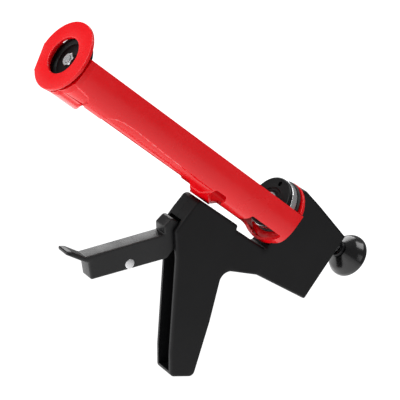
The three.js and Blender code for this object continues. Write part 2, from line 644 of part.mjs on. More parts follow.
function driveLink() {
  const rear = LEVER_LOWER;
  const h = LINK_HALF_HEIGHT;
  const offset = LEVER_THICKNESS / 2 + GAP + LINK_THICKNESS / 2;
  const low = offset - LINK_THICKNESS / 2;
  const high = offset + LINK_THICKNESS / 2;
  const slope = Math.atan2(LINK_PIN.z - rear.z, LINK_PIN.x - rear.x);
  const [ux, uz] = [Math.cos(slope), Math.sin(slope)];
  const at = (place, along, across) => [place.x + along * ux - across * uz, place.z + along * uz + across * ux];
  const bar = sideCut([
    [...at(rear, -7, -h), 3.9],
    [...at(LINK_PIN, 4, -h), 3.9],
    [...at(LINK_PIN, 4, h), 3.9],
    [...at(rear, -7, h), 3.9],
  ], low, high, 5);
  const slotAlong = LINK_PIN_RADIUS + LINK_SLOT_PLAY.along;
  const slotAcross = LINK_PIN_RADIUS + LINK_SLOT_PLAY.across;
  const slot = sideCut([
    [...at(rear, -slotAlong, -slotAcross), 2],
    [...at(rear, slotAlong, -slotAcross), 2],
    [...at(rear, slotAlong, slotAcross), 2],
    [...at(rear, -slotAlong, slotAcross), 2],
  ], low - 1, high + 1, 4);
  const hole = crossPin(LINK_PIN, LINK_PIN_RADIUS + GAP, low - 1, high + 1);
  addPiece("drive_link", cutBy(bar, slot, hole), STEEL);
}

function driveLever() {
  const t = LEVER_THICKNESS / 2;
  const tipZ = -10;
  const arm = sideCut([
    [LEVER_PIVOT.x - 4, tipZ + LEVER_TIP_RADIUS, 3.9],
    [LEVER_PIVOT.x + 4, tipZ + LEVER_TIP_RADIUS, 3.9],
    [LEVER_PIVOT.x + 6, LEVER_PIVOT.z, 4],
    [LEVER_LOWER.x + 5, LEVER_LOWER.z - 4.5, 4],
    [LEVER_LOWER.x - 5, LEVER_LOWER.z - 4.5, 4],
    [LEVER_PIVOT.x - 6, LEVER_PIVOT.z, 4],
  ], -t, t);
  const made = cutBy(
    arm,
    crossPin(LEVER_PIVOT, PIVOT_PIN_RADIUS + GAP, -t - 1, t + 1),
    crossPin(LEVER_LOWER, LINK_PIN_RADIUS + GAP, -t - 1, t + 1));
  addPiece("drive_lever", made, STEEL);
  const pinEnd = t + GAP + LINK_THICKNESS + 1;
  addPiece("link_rear_pin", crossPin(LEVER_LOWER, LINK_PIN_RADIUS, -t - 1, pinEnd), STEEL);
}

function drivePlates() {
  const { thickness, halfWidth, top, bottom } = DRIVE_PLATE;
  for (let i = 0; i < DRIVE_PLATE.count; i += 1) {
    const back = PLATE_BACK + i * PLATE_PITCH;
    const section = outline([[-halfWidth, bottom, 1.5], [halfWidth, bottom, 1.5], [halfWidth, top, 1.5],
      [-halfWidth, top, 1.5]]);
    const plate = crossCut(section, back, back + thickness, 4);
    const hole = hexBar(back - 1, back + thickness + 1, ROD_FLATS + 2 * GAP);
    addPiece(`drive_plate_${i + 1}`, plate.subtract(hole), STEEL);
  }
}

class Coil extends THREE.Curve {
  constructor(start, end, radius, turns) {
    super();
    Object.assign(this, { start, end, radius, turns });
  }

  getPoint(t) {
    const angle = 2 * Math.PI * this.turns * t;
    const x = this.start + (this.end - this.start) * t;
    return new THREE.Vector3(x, this.radius * Math.cos(angle), this.radius * Math.sin(angle));
  }
}

function returnSpring() {
  const clear = GAP + SPRING_WIRE_RADIUS;
  const path = new Coil(PLATE_FRONT + clear, SPINDLE_BLOCK_BACK - 0.5, SPRING_COIL_RADIUS, SPRING_TURNS);
  const section = new THREE.Shape();
  section.absarc(0, 0, SPRING_WIRE_RADIUS, 0, 2 * Math.PI, false);
  const geometry = new THREE.ExtrudeGeometry(section, {
    steps: 12 * SPRING_TURNS,
    curveSegments: 3,
    extrudePath: path,
    bevelEnabled: false,
  });
  addPiece("return_spring", solid(geometry), STEEL);
}

// ---- The whole gun ----

handleShells();
SCREW_PLACES.forEach((place, index) => shellScrew(index, place));
handlePins();
barrelSpindle();
spindleRings();
collarNut();
rearGuide();
barrel();
plunger();
pullKnob();
trigger();
triggerPins();
driveLink();
driveLever();
drivePlates();
returnSpring();

gun.position.set(-GRIP_CENTRE.x, 0, -GRIP_CENTRE.z);

export default gun;
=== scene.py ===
"""Caulking gun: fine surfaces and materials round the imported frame. Metres, +X to the nozzle, +Z up."""
import json
import math

import bmesh
import bpy
import numpy as np
from mathutils import Matrix, Vector
from mathutils.geometry import delaunay_2d_cdt


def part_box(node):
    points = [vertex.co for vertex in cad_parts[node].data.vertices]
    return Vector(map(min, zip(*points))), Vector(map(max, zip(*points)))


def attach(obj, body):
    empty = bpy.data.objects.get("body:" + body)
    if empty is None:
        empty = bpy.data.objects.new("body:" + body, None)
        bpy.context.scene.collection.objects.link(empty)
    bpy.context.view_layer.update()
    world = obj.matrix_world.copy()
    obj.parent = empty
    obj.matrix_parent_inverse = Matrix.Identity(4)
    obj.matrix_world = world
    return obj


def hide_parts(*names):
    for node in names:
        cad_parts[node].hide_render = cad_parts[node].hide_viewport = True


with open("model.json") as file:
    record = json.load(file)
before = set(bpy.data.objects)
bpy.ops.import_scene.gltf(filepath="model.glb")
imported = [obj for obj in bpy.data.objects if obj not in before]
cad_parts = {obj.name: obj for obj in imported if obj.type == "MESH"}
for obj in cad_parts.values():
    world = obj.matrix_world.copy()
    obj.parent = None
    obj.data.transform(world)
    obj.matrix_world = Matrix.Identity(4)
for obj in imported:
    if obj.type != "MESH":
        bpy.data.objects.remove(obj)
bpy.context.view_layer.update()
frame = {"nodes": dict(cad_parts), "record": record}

MM = 0.001


# ---- Places taken from the frame ----

def low(node):
    """Least x, y and z of the node's box, in mm."""
    return np.array(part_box(node)[0]) / MM


def high(node):
    """Greatest x, y and z of the node's box, in mm."""
    return np.array(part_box(node)[1]) / MM


def middle(node):
    """Middle of the node's box, in mm."""
    return (low(node) + high(node)) / 2


NUT_FRONT = 17.0  # the collar nut's front face, from the barrel's rear face
REAR_X = high("collar_nut")[0] - NUT_FRONT
AXIS_Z = middle("plunger_rod")[2]
ORIGIN = np.array([REAR_X, 0.0, AXIS_Z])  # where the rod's axis meets the barrel's rear face, in mm
BARREL_RADIUS = high("barrel_trough")[1]
CAP_RADIUS = high("barrel_front_cap")[1]
BARREL_LENGTH = 280.0
TROUGH_FRONT = 275.0
TROUGH_TOP = 9.0  # height of the trough's edges over the barrel's axis
BARREL_DROP = 4.4  # the barrel's axis under the rod's at the rear face
BARREL_TILT = math.radians(0.98)
BODY_HALF_WIDTH = high("handle_shell_left")[1]
BODY_REAR = low("handle_shell_left")[0] - REAR_X
TRIGGER_HALF_WIDTH = high("trigger_lever")[1]

GAP = 0.3
BARREL_WALL = 2.5
PLATE_THICKNESS = 3.0  # of the rear plate and of the front cap
SPINDLE_BORE = 7.8  # radius of the hole in what turns or sits on the spindle
SHELL_WALL = 3.8
CAVITY_HALF_WIDTH = BODY_HALF_WIDTH - SHELL_WALL


# ---- Meshes ----

def arcs(corners, step=0.12):
    """Closed outline through corners (u, v, radius): each corner with a radius becomes an arc of that radius.

    The arc's centre lies on the corner's bisector at radius / sin(half angle), and the points go round it in
    equal steps of about the given number of radians.
    """
    points = []
    count = len(corners)
    for i, (u, v, radius) in enumerate(corners):
        here = np.array([u, v], float)
        before = np.array(corners[i - 1][:2], float) - here
        after = np.array(corners[(i + 1) % count][:2], float) - here
        before /= np.linalg.norm(before)
        after /= np.linalg.norm(after)
        if radius <= 0:
            points.append(here[None])
            continue
        half = math.acos(np.clip(before @ after, -1, 1)) / 2
        bisector = before + after
        bisector /= np.linalg.norm(bisector)
        centre = here + bisector * radius / math.sin(half)
        start = here + before * radius / math.tan(half) - centre
        end = here + after * radius / math.tan(half) - centre
        first = math.atan2(start[1], start[0])
        sweep = (math.atan2(end[1], end[0]) - first + math.pi) % (2 * math.pi) - math.pi
        steps = max(2, int(abs(sweep) / step) + 1)
        angle = first + sweep * np.linspace(0, 1, steps + 1)
        points.append(centre + radius * np.stack([np.cos(angle), np.sin(angle)], 1))
    return np.concatenate(points)


def grid_faces(rows, columns, close_rows=False, close_columns=False):
    """Quads of a grid of rows x columns points, joined round on itself where asked."""
    i = np.arange(rows if close_rows else rows - 1)
    j = np.arange(columns if close_columns else columns - 1)
    a, b = np.meshgrid(i, j, indexing="ij")
    a2, b2 = (a + 1) % rows, (b + 1) % columns
    quads = np.stack([a * columns + b, a2 * columns + b, a2 * columns + b2, a * columns + b2], -1)
    return quads.reshape(-1, 4)


def make_mesh(name, points, faces, merge=1e-4):
    """Mesh from points in mm about ORIGIN, with doubles merged and faces turned outwards."""
    mesh = bpy.data.meshes.new(name)
    placed = (np.asarray(points, float) + ORIGIN) * MM
    mesh.from_pydata(placed.tolist(), [], [tuple(int(k) for k in face) for face in faces])
    work = bmesh.new()
    work.from_mesh(mesh)
    bmesh.ops.remove_doubles(work, verts=work.verts, dist=merge * MM)
    bmesh.ops.dissolve_degenerate(work, edges=work.edges, dist=1e-8)
    bmesh.ops.recalc_face_normals(work, faces=work.faces)
    work.to_mesh(mesh)
    work.free()
    return mesh


def add_piece(name, mesh, body, material, nodes, sharp=32):
    """Object of the mesh on a body, with the material, in the place of the nodes; sharp is in degrees."""
    piece = bpy.data.objects.new(name, mesh)
    bpy.context.scene.collection.objects.link(piece)
    mesh.materials.clear()
    mesh.materials.append(material)
    mesh.shade_smooth()
    mesh.set_sharp_from_angle(angle=math.radians(sharp))
    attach(piece, body)
    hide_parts(*nodes)
    return piece


def bevelled(piece, width, segments, angle):
    """Rounds the edges that turn by more than the angle in degrees, to the width in mm."""
    modifier = piece.modifiers.new("edge_round", "BEVEL")
    modifier.width = width * MM
    modifier.segments = segments
    modifier.limit_method = "ANGLE"
    modifier.angle_limit = math.radians(angle)


def turned(profile, segments=96):
    """Surface of revolution about the rod's axis: the closed profile (x, radius) goes round a circle."""
    x, r = np.asarray(profile, float).T
    angle = np.linspace(0, 2 * math.pi, segments, endpoint=False)[:, None]
    points = np.stack([np.broadcast_to(x, (segments, len(x))), r * np.cos(angle), r * np.sin(angle)], -1)
    return points.reshape(-1, 3), grid_faces(segments, len(x), True, True)


def slab(outline, half_width, edge_round, steps=5, spacing=4.0):
    """Plate of the outline (x, z) between y = -half_width and +half_width, its edges rounded.

    A quarter circle profile is carried along the outline: at angle t the outline is moved inwards by
    edge_round * (1 - cos t) and out to y = half_width - edge_round * (1 - sin t). The two flat sides are
    filled with triangles on a grid of the given spacing.
    """
    outline = np.asarray(outline, float)
    if np.cross(outline, np.roll(outline, -1, 0)).sum() < 0:
        outline = outline[::-1]
    ahead = np.roll(outline, -1, 0) - outline
    ahead /= np.linalg.norm(ahead, axis=1)[:, None]
    inward = np.stack([-ahead[:, 1], ahead[:, 0]], 1)
    mitre = inward + np.roll(inward, 1, 0)
    mitre /= np.maximum((mitre * inward).sum(1), 0.35)[:, None]
    t = np.linspace(0, math.pi / 2, steps + 1)
    inset = edge_round * (1 - np.cos(t))
    out = half_width - edge_round * (1 - np.sin(t))
    inset = np.concatenate([inset[::-1], inset])
    out = np.concatenate([-out[::-1], out])
    ring = outline[None] + mitre[None] * inset[:, None, None]
    count = len(outline)
    points = np.stack([ring[..., 0], np.broadcast_to(out[:, None], (len(out), count)), ring[..., 1]], -1)
    faces = [tuple(q) for q in grid_faces(len(out), count, False, True)]
    points = points.reshape(-1, 3)
    rim = ring[-1]
    lo, hi = rim.min(0) + spacing / 2, rim.max(0)
    gx, gz = np.meshgrid(np.arange(lo[0], hi[0], spacing), np.arange(lo[1], hi[1], spacing))
    inner = np.stack([gx.ravel(), gz.ravel()], 1)
    inner = inner[inside(inner, rim, spacing * 0.45)]
    plan = np.concatenate([rim, inner])
    edges = [(i, (i + 1) % count) for i in range(count)]
    flat, _, cells, _, _, _ = delaunay_2d_cdt([Vector(p) for p in plan], edges, [], 1, 1e-7)
    flat = np.array([tuple(p) for p in flat])
    for side in (-1, 1):
        start = len(points)
        sheet = np.stack([flat[:, 0], np.full(len(flat), side * half_width), flat[:, 1]], 1)
        points = np.concatenate([points, sheet])
        faces += [tuple(start + k for k in cell) for cell in cells]
    return points, faces


def inside(points, ring, margin):
    """True for points inside the ring (even-odd rule) and at least margin away from its points."""
    x, z = points[:, :1], points[:, 1:]
    ax, az = ring.T
    bx, bz = np.roll(ring, -1, 0).T
    crosses = (az > z) != (bz > z)
    reach = ax + (z - az) * (bx - ax) / np.where(bz == az, 1e-9, bz - az)
    odd = (crosses & (x < reach)).sum(1) % 2 == 1
    gap = np.sqrt((x - ax) ** 2 + (z - az) ** 2).min(1)
    return odd & (gap > margin)


def prism(outline, back, front):
    """Plain prism of the outline (x, z) from y = back to y = front, used as a cutter."""
    outline = np.asarray(outline, float)
    count = len(outline)
    ends = [np.stack([outline[:, 0], np.full(count, y), outline[:, 1]], 1) for y in (back, front)]
    sides = [(i, (i + 1) % count, (i + 1) % count + count, i + count) for i in range(count)]
    return np.concatenate(ends), sides + [tuple(range(count))[::-1], tuple(range(count, 2 * count))]


def cut(mesh, cutters, operation="DIFFERENCE"):
    """The mesh less each cutter (points, faces), or joined to it or met by it, by exact booleans."""
    body = bpy.data.objects.new("cut_body", mesh)
    bpy.context.scene.collection.objects.link(body)
    tools = []
    for points, faces in cutters:
        tool = bpy.data.objects.new("cut_tool", make_mesh("cut_tool", points, faces))
        bpy.context.scene.collection.objects.link(tool)
        modifier = body.modifiers.new("cut", "BOOLEAN")
        modifier.operation = operation
        modifier.solver = "EXACT"
        modifier.object = tool
        tools.append(tool)
    graph = bpy.context.evaluated_depsgraph_get()
    graph.update()
    result = bpy.data.meshes.new_from_object(body.evaluated_get(graph))
    for item in [body, *tools]:
        data = item.data
        bpy.data.objects.remove(item)
        bpy.data.meshes.remove(data)
    return result


def smooth_step(value, start, end):
    """0 up to start, 1 from end on, and s * s * (3 - 2 * s) between them, with s the share of the way."""
    share = np.clip((value - start) / (end - start), 0, 1)
    return share * share * (3 - 2 * share)


# ---- Materials ----

def new_material(name, base, roughness, metallic=0.0, specular=0.5):
    """Material of one colour and roughness, with its Principled shader."""
    material = bpy.data.materials.new(name)
    material.use_nodes = True
    shader = material.node_tree.nodes["Principled BSDF"]
    shader.inputs["Base Color"].default_value = (*base, 1)
    shader.inputs["Roughness"].default_value = roughness
    shader.inputs["Metallic"].default_value = metallic
    shader.inputs["Specular IOR Level"].default_value = specular
    return material, shader


def noise(material, scale, detail, rough=0.55, stretch=None):
    """Noise over the object's own coordinates, pulled out by stretch along x, y and z where it is given."""
    tree = material.node_tree
    where = tree.nodes.new("ShaderNodeTexCoord")
    texture = tree.nodes.new("ShaderNodeTexNoise")
    texture.inputs["Scale"].default_value = scale
    texture.inputs["Detail"].default_value = detail
    texture.inputs["Roughness"].default_value = rough
    if stretch is None:
        tree.links.new(where.outputs["Object"], texture.inputs["Vector"])
    else:
        mapping = tree.nodes.new("ShaderNodeMapping")
        mapping.inputs["Scale"].default_value = stretch
        tree.links.new(where.outputs["Object"], mapping.inputs["Vector"])
        tree.links.new(mapping.outputs["Vector"], texture.inputs["Vector"])
    return texture.outputs["Fac"]


def spread(material, source, start, end, low_value, high_value):
    """The source's range from start to end laid over low_value to high_value."""
    tree = material.node_tree
    node = tree.nodes.new("ShaderNodeMapRange")
    node.inputs["From Min"].default_value = start
    node.inputs["From Max"].default_value = end
    node.inputs["To Min"].default_value = low_value
    node.inputs["To Max"].default_value = high_value
    tree.links.new(source, node.inputs["Value"])
    return node.outputs["Result"]


def two_tone(material, share, first, second):
    """Colour between first and second by the share."""
    tree = material.node_tree
    node = tree.nodes.new("ShaderNodeMix")
    node.data_type = "RGBA"
    node.inputs["A"].default_value = (*first, 1)
    node.inputs["B"].default_value = (*second, 1)
    tree.links.new(share, node.inputs["Factor"])
    return node.outputs["Result"]


def relief(material, shader, layers):
    """Bump layers (height source, distance in mm, strength), each on top of the last."""
    tree = material.node_tree
    normal = None
    for height, distance, strength in layers:
        bump = tree.nodes.new("ShaderNodeBump")
        bump.inputs["Distance"].default_value = distance * MM
        bump.inputs["Strength"].default_value = strength
        tree.links.new(height, bump.inputs["Height"])
        if normal is not None:
            tree.links.new(normal, bump.inputs["Normal"])
        normal = bump.outputs["Normal"]
    tree.links.new(normal, shader.inputs["Normal"])


def plastic(name, base, worn, roughness, grain, grain_depth, specular=0.5, wave=0.05):
    """Moulded plastic or paint: slow colour drift, uneven roughness, waves and fine grain in the bump."""
    material, shader = new_material(name, base, roughness, specular=specular)
    tree = material.node_tree
    drift = noise(material, 22, 3)
    colour = two_tone(material, spread(material, drift, 0.35, 0.7, 0, 1), base, worn)
    tree.links.new(colour, shader.inputs["Base Color"])
    rubbed = noise(material, 60, 5)
    rough = spread(material, rubbed, 0.3, 0.75, max(roughness - 0.05, 0.03), roughness + 0.07)
    tree.links.new(rough, shader.inputs["Roughness"])
    fine = noise(material, grain, 2)
    waves = noise(material, 35, 2)
    relief(material, shader, [(waves, wave, 0.25), (fine, grain_depth, 0.5)])
    return material


def metal(name, base, dark, roughness, stretch=(1, 1, 1)):
    """Plated steel, slightly clouded, with fine scratches drawn out along the least part of stretch."""
    material, shader = new_material(name, base, roughness, metallic=1.0)
    tree = material.node_tree
    cloud = noise(material, 70, 4)
    colour = two_tone(material, spread(material, cloud, 0.35, 0.75, 0, 1), base, dark)
    tree.links.new(colour, shader.inputs["Base Color"])
    lines = noise(material, 900, 3, 0.6, stretch)
    rough = spread(material, lines, 0.3, 0.7, roughness, roughness + 0.12)
    tree.links.new(rough, shader.inputs["Roughness"])
    relief(material, shader, [(lines, 0.006, 0.35)])
    return material


HANDLE_BLACK = plastic(
    "handle_satin_black", base=(0.003, 0.003, 0.0034), worn=(0.0045, 0.0045, 0.005), roughness=0.45,
    grain=2400, grain_depth=0.010, specular=0.16)
TRIGGER_BLACK = plastic(
    "trigger_grained_black", base=(0.004, 0.004, 0.0045), worn=(0.007, 0.007, 0.0075), roughness=0.4,
    grain=1500, grain_depth=0.015, specular=0.32)
RED = plastic(
    "barrel_gloss_red", base=(0.62, 0.0, 0.003), worn=(0.58, 0.0, 0.003), roughness=0.24,
    grain=900, grain_depth=0.004, specular=0.3, wave=0.01)
NUT_BLACK = plastic(
    "nut_smooth_black", base=(0.002, 0.002, 0.0024), worn=(0.004, 0.004, 0.0045), roughness=0.34,
    grain=2000, grain_depth=0.008, specular=0.18)
KNOB_BLACK = plastic(
    "knob_gloss_black", base=(0.003, 0.003, 0.0035), worn=(0.004, 0.004, 0.004), roughness=0.2,
    grain=1200, grain_depth=0.0, specular=0.45, wave=0.0)
RUBBER = plastic(
    "seal_rubber", base=(0.008, 0.008, 0.008), worn=(0.014, 0.014, 0.014), roughness=0.72,
    grain=1800, grain_depth=0.03)
ROD_STEEL = metal(
    "rod_bright_steel", base=(0.72, 0.73, 0.75), dark=(0.6, 0.61, 0.63), roughness=0.16, stretch=(0.05, 1, 1))
BRIGHT_STEEL = metal("polished_steel", base=(0.66, 0.66, 0.67), dark=(0.55, 0.55, 0.56), roughness=0.2)
DRIVE_STEEL = metal("zinc_plated_steel", base=(0.55, 0.56, 0.58), dark=(0.42, 0.43, 0.45), roughness=0.3)

CAD_FINISH = {
    "drive_steel": DRIVE_STEEL,
    "fastener_steel": DRIVE_STEEL,
    "bright_steel": BRIGHT_STEEL,
    "rod_steel": ROD_STEEL,
    "seal_rubber": RUBBER,
    "nut_plastic": NUT_BLACK,
    "knob_plastic": KNOB_BLACK,
    "handle_plastic": HANDLE_BLACK,
    "trigger_plastic": TRIGGER_BLACK,
    "barrel_red": RED,
}


# ---- Handle ----

BODY_OUTLINE = arcs([
    (-2, 25, 2.2), (-2, -36.8, 3), (39, -36.8, 2.2), (40, -32.8, 2.2), (92, -32.8, 5), (93.5, -50, 8),
    (94, -67, 4), (76, -85, 8), (22, -156, 10), (7, -173, 5), (-15, -163, 5), (5, -115, 20), (26, -72, 9),
    (-10, -59.3, 6), (-74, -54, 2), (-73, 12, 2), (-27, 21, 20)])

CAVITY_OUTLINE = arcs([
    (-13.6, 17, 1), (-13.6, -32.8, 2), (0, -40.0, 3), (43, -40.0, 1), (44, -36.6, 1), (89, -36.6, 3),
    (90, -55, 1), (108, -56, 0), (108, -110, 0), (31, -182, 0), (-9, -158.5, 3), (10, -113, 18),
    (30, -65, 10), (10, -58, 8), (-38, -52.5, 10), (-69.2, -50, 2), (-69.2, -11.8, 0),
    (-58.6, -11.8, 0), (-58.6, 9, 2), (-40, 14, 8)])


SCREW_COUNT = 6
SCREW_HEAD_RADIUS = 3.3
SCREW_HEAD_FLOOR = -9  # y at the bottom of the head's hole in the right shell
SCREW_SHANK_RADIUS = 1.9


def handle_shells():
    """The two halves of the body and grip: one whole slab, parted at the middle plane and hollowed."""
    points, faces = slab(BODY_OUTLINE, BODY_HALF_WIDTH, 2.0)
    whole = make_mesh("handle_whole", points, faces)
    cavity = prism(CAVITY_OUTLINE, -CAVITY_HALF_WIDTH, CAVITY_HALF_WIDTH)
    far = 400.0
    sides = {"left": (GAP / 4, far), "right": (-far, -GAP / 4)}
    screws = [middle(f"shell_screw_{index}") - ORIGIN for index in range(1, SCREW_COUNT + 1)]
    outside = -BODY_HALF_WIDTH - 1
    heads = [cross_bar(x, z, SCREW_HEAD_RADIUS, outside, SCREW_HEAD_FLOOR) for x, _, z in screws]
    shanks = [cross_bar(x, z, SCREW_SHANK_RADIUS, outside, SCREW_HEAD_FLOOR + 3, 20) for x, _, z in screws]
    for side, (start, end) in sides.items():
        keep = prism([(-far, -far), (far, -far), (far, far), (-far, far)], start, end)
        half = cut(whole.copy(), [keep], "INTERSECT")
        half = cut(half, [cavity, *heads, *shanks] if side == "right" else [cavity])
        node = f"handle_shell_{side}"
        piece = add_piece(f"{node}_fine", half, "handle", HANDLE_BLACK, [node])
        bevelled(piece, 0.6, 2, 50)


# ---- Barrel ----

STRIP_Y = 0.61 * BARREL_RADIUS  # the windows' side edges
STRIP_HIGH_Y = 0.91 * BARREL_RADIUS  # the same where the left strip is narrow
REAR_FLOOR = 6.5
BRIDGE_BACK = 71.0  # the slanting bridge between the windows, on the middle plane
BRIDGE_FRONT = 96.0
FRONT_BRIDGE_SIDE = BARREL_LENGTH - 29
FRONT_BRIDGE_BOTTOM = BARREL_LENGTH - 36

NO_PRESSING = -30.0
MIDDLE_PRESSING = [(98, -17.6), (112, -17.4), (150, -16.6), (200, -14.6), (214, -15.2), (222, -17.0),
                   (227, -20), (229, -27)]  # upper edge line of the pressing, (x, z)
FRONT_PRESSING = [(250, -27), (252, -18.5), (256, -15.6), (262, -14.6), (TROUGH_FRONT, -13.6)]
PRESSING_RAMP = 0.8
PRESSING_DEPTH = 0.9
PRESSING_LEAN = 0.18  # more depth for each mm further down

GROOVE_LENGTH = 5.6  # from the groove's start to the trough's front end
GROOVE_TAPER = 4.2
GROOVE_DEPTH = 1.9
BEAD_LENGTH = 1.4
BEAD_FLAT = 0.8
BEAD_HEIGHT = 0.5


def seated(points):
    """Points about the barrel's own axis laid into the gun: turned nose-up about y, then dropped."""
    c, s = math.cos(BARREL_TILT), math.sin(BARREL_TILT)
    x, y, z = np.asarray(points, float).T
    return np.stack([x * c - z * s, y, x * s + z * c - BARREL_DROP], 1)


def pocket_share(x, z):
    """1 where the wall's foot is pressed inwards, 0 elsewhere.

    The pressings have an upper edge line at height top(x), rounded at their ends, and a short ramp under it.
    """
    middle_top = np.interp(x, *zip(*MIDDLE_PRESSING))
    front_top = np.interp(x, *zip(*FRONT_PRESSING))
    rear_half = np.where(x < MIDDLE_PRESSING[0][0], NO_PRESSING, middle_top)
    front_half = np.where(x < FRONT_PRESSING[0][0], NO_PRESSING, front_top)
    top = np.where(x < 232, rear_half, front_half)
    return smooth_step(-z, -top, -top + PRESSING_RAMP)


def trough_surface():
    """Wall of the trough as a closed grid: rows go round the section, columns run along x.

    The outer section is upright above the axis. Below, it is |y/R|^p + |z/R|^p = 1, with p going from 2.55 at
    the sides to 2 at the bottom. Where pocket_share is 1 the wall steps in by PRESSING_DEPTH, and by
    PRESSING_LEAN more for each mm that it lies lower. The front end tapers to a groove behind a raised bead.
    The inner section is the outer one scaled by (R - wall) / R, and both are joined along the top edges.
    """
    knots = [(0, 95, 48), (95, 125, 40), (125, 198, 40), (198, 232, 56), (232, 247, 10), (247, 266, 38),
             (266, TROUGH_FRONT, 24)]
    x = np.concatenate([np.linspace(a, b, n, endpoint=False) for a, b, n in knots] + [[TROUGH_FRONT]])
    r = BARREL_RADIUS
    lowest = math.pi / 2
    angle = np.concatenate([np.linspace(0, math.radians(22), 8, endpoint=False),
                            np.linspace(math.radians(22), math.radians(56), 44, endpoint=False),
                            np.linspace(math.radians(56), lowest, 16)])
    power = 2 + 0.55 * (1 - smooth_step(angle, math.radians(34), math.radians(62)))
    radius = r / (np.cos(angle) ** power + np.sin(angle) ** power) ** (1 / power)
    y = np.concatenate([np.full(5, r), radius * np.cos(angle)])
    z = np.concatenate([np.linspace(TROUGH_TOP, 0, 5, endpoint=False), -radius * np.sin(angle)])
    xx, yy = np.meshgrid(x, y, indexing="ij")
    zz = np.broadcast_to(z, xx.shape)
    share = pocket_share(xx, zz) * (1 - smooth_step(-zz, 23.5, 27))
    press = PRESSING_DEPTH + PRESSING_LEAN * np.clip(-zz - 14, 0, 9)
    yy = yy - share * press
    bead = smooth_step(xx, TROUGH_FRONT - BEAD_LENGTH, TROUGH_FRONT - BEAD_FLAT)
    groove = np.clip((xx - TROUGH_FRONT + GROOVE_LENGTH) / GROOVE_TAPER, 0, 1) * (1 - bead)
    flare = BEAD_HEIGHT * bead - GROOVE_DEPTH * groove
    length = np.hypot(yy, np.minimum(zz, 0))
    grow = 1 + flare / np.maximum(length, 1)
    yy = yy * grow
    lower = np.where(zz < 0, zz * grow, zz)
    half = np.stack([xx, yy, lower], -1)
    inner = half * np.array([1, (r - BARREL_WALL) / r, 1])
    inner[..., 2] = np.where(lower < 0, lower * (r - BARREL_WALL) / r, lower)
    mirror = np.array([1, -1, 1])
    outer = np.concatenate([half, half[:, -2::-1] * mirror], 1)
    inner = np.concatenate([inner, inner[:, -2::-1] * mirror], 1)[:, ::-1]
    points = np.concatenate([outer, inner], 1)
    rows = points.shape[1]
    faces = [tuple(q) for q in grid_faces(len(x), rows, False, True)]
    thick = rows // 2
    for end in (0, len(x) - 1):
        first = end * rows
        for j in range(thick - 1):
            faces.append((first + j, first + j + 1, first + rows - 2 - j, first + rows - 1 - j))
    return points.reshape(-1, 3), faces


def plan_prism(outline, bottom, top):
    """Prism of the plan outline (x, y) from z = bottom to z = top, used as a cutter."""
    points, faces = prism(outline, bottom, top)
    return points[:, [0, 2, 1]], faces


def bridge_edge(centre):
    """One slanting edge of the bridge, as corners from the left strip to the right one."""
    lean = [(9, 8.5), (STRIP_Y, 22.0)]
    left = [(centre + forward, y, 4) for y, forward in reversed(lean)]
    return left + [(centre - forward, -y, 4) for y, forward in lean]


def windows():
    """Cutters for the two windows in the trough's bottom and the slit beside the front bridge."""
    front = arcs(bridge_edge(BRIDGE_FRONT) + [
        (FRONT_BRIDGE_SIDE, -STRIP_Y, 2), (FRONT_BRIDGE_BOTTOM, -5, 4), (FRONT_BRIDGE_BOTTOM, 5, 4),
        (FRONT_BRIDGE_SIDE, STRIP_Y, 1.5)])
    rear_edge = bridge_edge(BRIDGE_BACK)
    notch = rear_edge[0][0] + 4.5
    rear = arcs(rear_edge + [
        (REAR_FLOOR + 4, -STRIP_Y, 5), (REAR_FLOOR, -5, 3), (REAR_FLOOR, STRIP_HIGH_Y, 1),
        (46, STRIP_HIGH_Y, 1), (50, STRIP_Y, 3), (notch - 21, STRIP_Y, 3), (notch - 18, STRIP_HIGH_Y, 6),
        (notch, STRIP_HIGH_Y, 2)])
    slit = arcs([(247, STRIP_Y - 1.0, 0.6), (249, STRIP_Y + 1.1, 1.0), (269, STRIP_Y - 0.9, 0.2),
                 (269, STRIP_Y - 1.5, 0.2)])
    return [plan_prism(outline, -BARREL_RADIUS - 5, -5) for outline in (front, rear, slit)]


def barrel():
    """The trough with its windows, the rear plate and the front cap."""
    points, faces = trough_surface()
    whole = cut(make_mesh("barrel_trough_whole", points, faces), windows())
    weld(whole, 0.12)
    place_barrel(whole)
    piece = add_piece("barrel_trough_fine", whole, "barrel", RED, ["barrel_trough"], 26)
    bevelled(piece, 0.4, 2, 48)
    rear_plate()
    front_cap()


def weld(mesh, distance):
    """Merges points closer than the distance in mm, so no slivers are left beside a cut."""
    work = bmesh.new()
    work.from_mesh(mesh)
    bmesh.ops.remove_doubles(work, verts=work.verts, dist=distance * MM)
    bmesh.ops.dissolve_degenerate(work, edges=work.edges, dist=distance * MM / 2)
    work.to_mesh(mesh)
    work.free()


def place_barrel(mesh):
    """Moves a mesh built about the barrel's own axis to its seat in the gun."""
    flat = np.empty(3 * len(mesh.vertices))
    mesh.vertices.foreach_get("co", flat)
    points = flat.reshape(-1, 3) / MM - ORIGIN
    mesh.vertices.foreach_set("co", ((seated(points) + ORIGIN) * MM).ravel())
    mesh.update()


